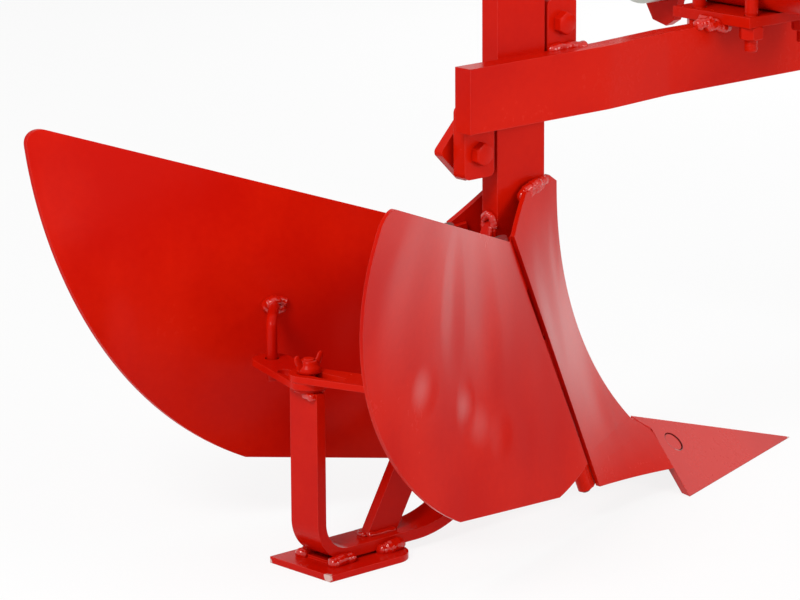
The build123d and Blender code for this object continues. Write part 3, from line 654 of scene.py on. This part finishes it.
# Stud, washer and wing nut
# The stud and its washer are welded to the strap's end, and a cast wing nut with two thin ears
# clamps the two slotted stays on the washer.
def cast_ear(centre, way):
    """Rings of one ear of the wing nut, from the body up and out to its round tip."""
    centre, outward, thickness_way = Vector(centre), Vector((way, 0, 0)), Vector((0, 1, 0))
    stations = (  # out, up, half its width, half its thickness
        (4.5, 3.0, 4.6, 2.6), (7.0, 4.6, 4.4, 2.4), (9.2, 6.8, 3.8, 2.1),
        (11.2, 9.6, 3.4, 1.9), (12.8, 12.2, 3.4, 1.8), (14.0, 14.6, 3.2, 1.7),
        (14.9, 16.2, 2.4, 1.3), (15.3, 17.0, 0.8, 0.5),
    )
    path = [centre + outward * out + Vector((0, 0, up)) for out, up, *_ in stations]
    turns = [tau * i / 24 for i in range(24)]
    rings = []
    for index, spot in enumerate(path):
        wide, thick = stations[index][2:]
        along = path[min(index + 1, len(path) - 1)] - path[max(index - 1, 0)]
        across = Vector((-along.z, 0, along.x)).normalized()
        rings.append([
            (spot + across * cos(a) * wide + thickness_way * sin(a) * thick) / 1000 for a in turns
        ])
    return rings


def turned(profile, sides):
    """Rings of a piece turned about the stud, from its heights and radii in millimetres."""
    spokes = [Vector((cos(tau * i / sides), sin(tau * i / sides), 0)) for i in range(sides)]
    return [
        [(Vector((stud_x, 0, height)) + spoke * radius) / 1000 for spoke in spokes]
        for height, radius in profile
    ]


stud_x, stud_size = -253.0, 12.0
nut_at = (stud_x, 0.0, 183.2)
barrel = turned([(nut_at[2] + up, radius) for up, radius in (
    (0.0, 10.4), (0.8, 11.0), (3.0, 11.0), (5.4, 10.4),
    (6.6, 9.0), (8.6, 8.3), (10.6, 7.9), (11.4, 7.0),
)], 32)
nut_pieces = [barrel, cast_ear(nut_at, 1), cast_ear(nut_at, -1)]
wing_nut = forge("cast_wing_nut", nut_pieces, "frame", red_enamel, 55.0)
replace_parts(wing_nut, "wing_nut")
washer = turned([(167.3, 14.6), (167.8, 15.0), (169.8, 15.0), (170.3, 14.6)], 48)
stud = plain_bar((stud_x, 0, 167), (stud_x, 0, 183), stud_size)
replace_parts(forge("painted_stud", [
    washer, stud, thread((stud_x, 0, 183), (0, 0, 1), stud_size, 13.2),
], "frame", red_enamel, 35.0), "stay_stud")
forge("stud_welds", [
    weld([(-261, -2, 164.5), (-261.5, -10, 165), (-261, -17, 163.5)], 3.4),
    weld([(-249, -12, 166), (-249, 12, 166)], 2.8),
], "frame", weld_enamel)


# Floor and light
# A pale floor that keeps the machine's shadow, and a white room. Wide soft lamps light it from
# above and behind, from its right and, more weakly, from ahead on its left.
pale_floor = Finish("pale_floor")
dust = pale_floor.noise(14.0, 3.0)
dusty_white = pale_floor.mix(dust, (0.90, 0.90, 0.90), (0.92, 0.92, 0.92))
pale_floor.set(base_color=dusty_white, roughness=0.9, specular_ior_level=0.1)
seen = pale_floor.add("LightPath", out="Is Camera Ray")
for kind in ("Is Glossy Ray", "Is Transmission Ray"):
    seen = seen + pale_floor.add("LightPath", out=kind)
glow = pale_floor.add("Emission", {}, {"Color": (1.0, 1.0, 1.0), "Strength": 1.0})
lit = Wire(pale_floor, pale_floor.shader.outputs[0])
veil = pale_floor.add("MixShader", {}, {0: seen.held() * 0.85, 1: lit, 2: glow})
pale_floor.join(pale_floor.tree.nodes["Material Output"].inputs["Surface"], veil)
half = 12.0
under = -0.0004  # just below the sole, so that the two faces don't lie in each other
floor_mesh = bpy.data.meshes.new("floor")
edges = ((-half, -half), (half, -half), (half, half), (-half, half))
floor_mesh.from_pydata([(x, y, under) for x, y in edges], [], [(0, 1, 2, 3)])
floor_mesh.materials.append(pale_floor.material)
floor_piece = bpy.data.objects.new("floor", floor_mesh)
bpy.context.scene.collection.objects.link(floor_piece)

room = bpy.data.worlds.new("room")
room.use_nodes = True
bpy.context.scene.world = room
links, backdrop = room.node_tree.links, room.node_tree.nodes["Background"]
backdrop.inputs["Color"].default_value = (1.0, 1.0, 1.0, 1.0)
ray = room.node_tree.nodes.new("ShaderNodeLightPath")
shown = room.node_tree.nodes.new("ShaderNodeMath")
shown.use_clamp = True
strength = room.node_tree.nodes.new("ShaderNodeMapRange")
strength.inputs["To Min"].default_value = 0.56
strength.inputs["To Max"].default_value = 1.0
half_shown = room.node_tree.nodes.new("ShaderNodeMath")
links.new(ray.outputs["Is Camera Ray"], half_shown.inputs[0])
links.new(ray.outputs["Is Glossy Ray"], half_shown.inputs[1])
links.new(half_shown.outputs[0], shown.inputs[0])
links.new(ray.outputs["Is Transmission Ray"], shown.inputs[1])
links.new(shown.outputs[0], strength.inputs["Value"])
links.new(strength.outputs[0], backdrop.inputs["Strength"])

lamps = (  # name, place, aim, width, watts
    ("key", (-2.5, -0.7, 2.6), (0.0, 0.0, 0.25), 1.2, 66.0),
    ("side", (0.7, -3.1, 1.4), (0.0, 0.0, 0.25), 1.6, 36.0),
    ("front", (2.6, 1.6, 0.9), (0.1, 0.0, 0.15), 1.3, 12.0),
)
for name, place, aim, width, watts in lamps:
    light = bpy.data.lights.new(name, "AREA")
    light.shape = "DISK"
    light.size = width
    light.energy = watts
    lamp = bpy.data.objects.new(name, light)
    lamp.location = place
    lamp.rotation_euler = (Vector(aim) - Vector(place)).to_track_quat("-Z", "Y").to_euler()
    bpy.context.scene.collection.objects.link(lamp)
